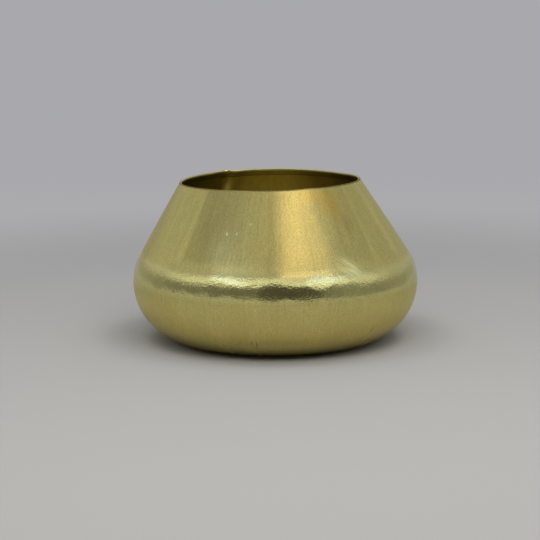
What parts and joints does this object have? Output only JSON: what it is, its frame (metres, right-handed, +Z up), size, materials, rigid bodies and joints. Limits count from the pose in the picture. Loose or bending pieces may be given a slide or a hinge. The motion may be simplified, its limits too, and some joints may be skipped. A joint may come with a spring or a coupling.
{
  "type": "cachepot",
  "caption": "Squat round brass cachepot: a flat base, a wide curved belly and a straight wall that leans in to an open rolled rim, for standing a potted plant in.",
  "frame": {"origin": "middle of the flat base, on the surface that the pot stands on", "axes": "+Z up along the pot's own axis; -Y is the side that faces the viewer in the reference picture, with +X to the right"},
  "size_m": [0.284, 0.284, 0.1603],
  "materials": {
    "brass_sheet": "brushed up and down, matt outside and smoother inside",
    "brass_filler": "ground flush outside, as laid inside"
  },
  "bodies": {
    "root": {"lower_bowl": "brass_sheet", "upper_cone": "brass_sheet", "girth_weld": "brass_filler", "seam_weld": "brass_filler", "rim_blob": "brass_filler"}
  },
  "joints": []
}
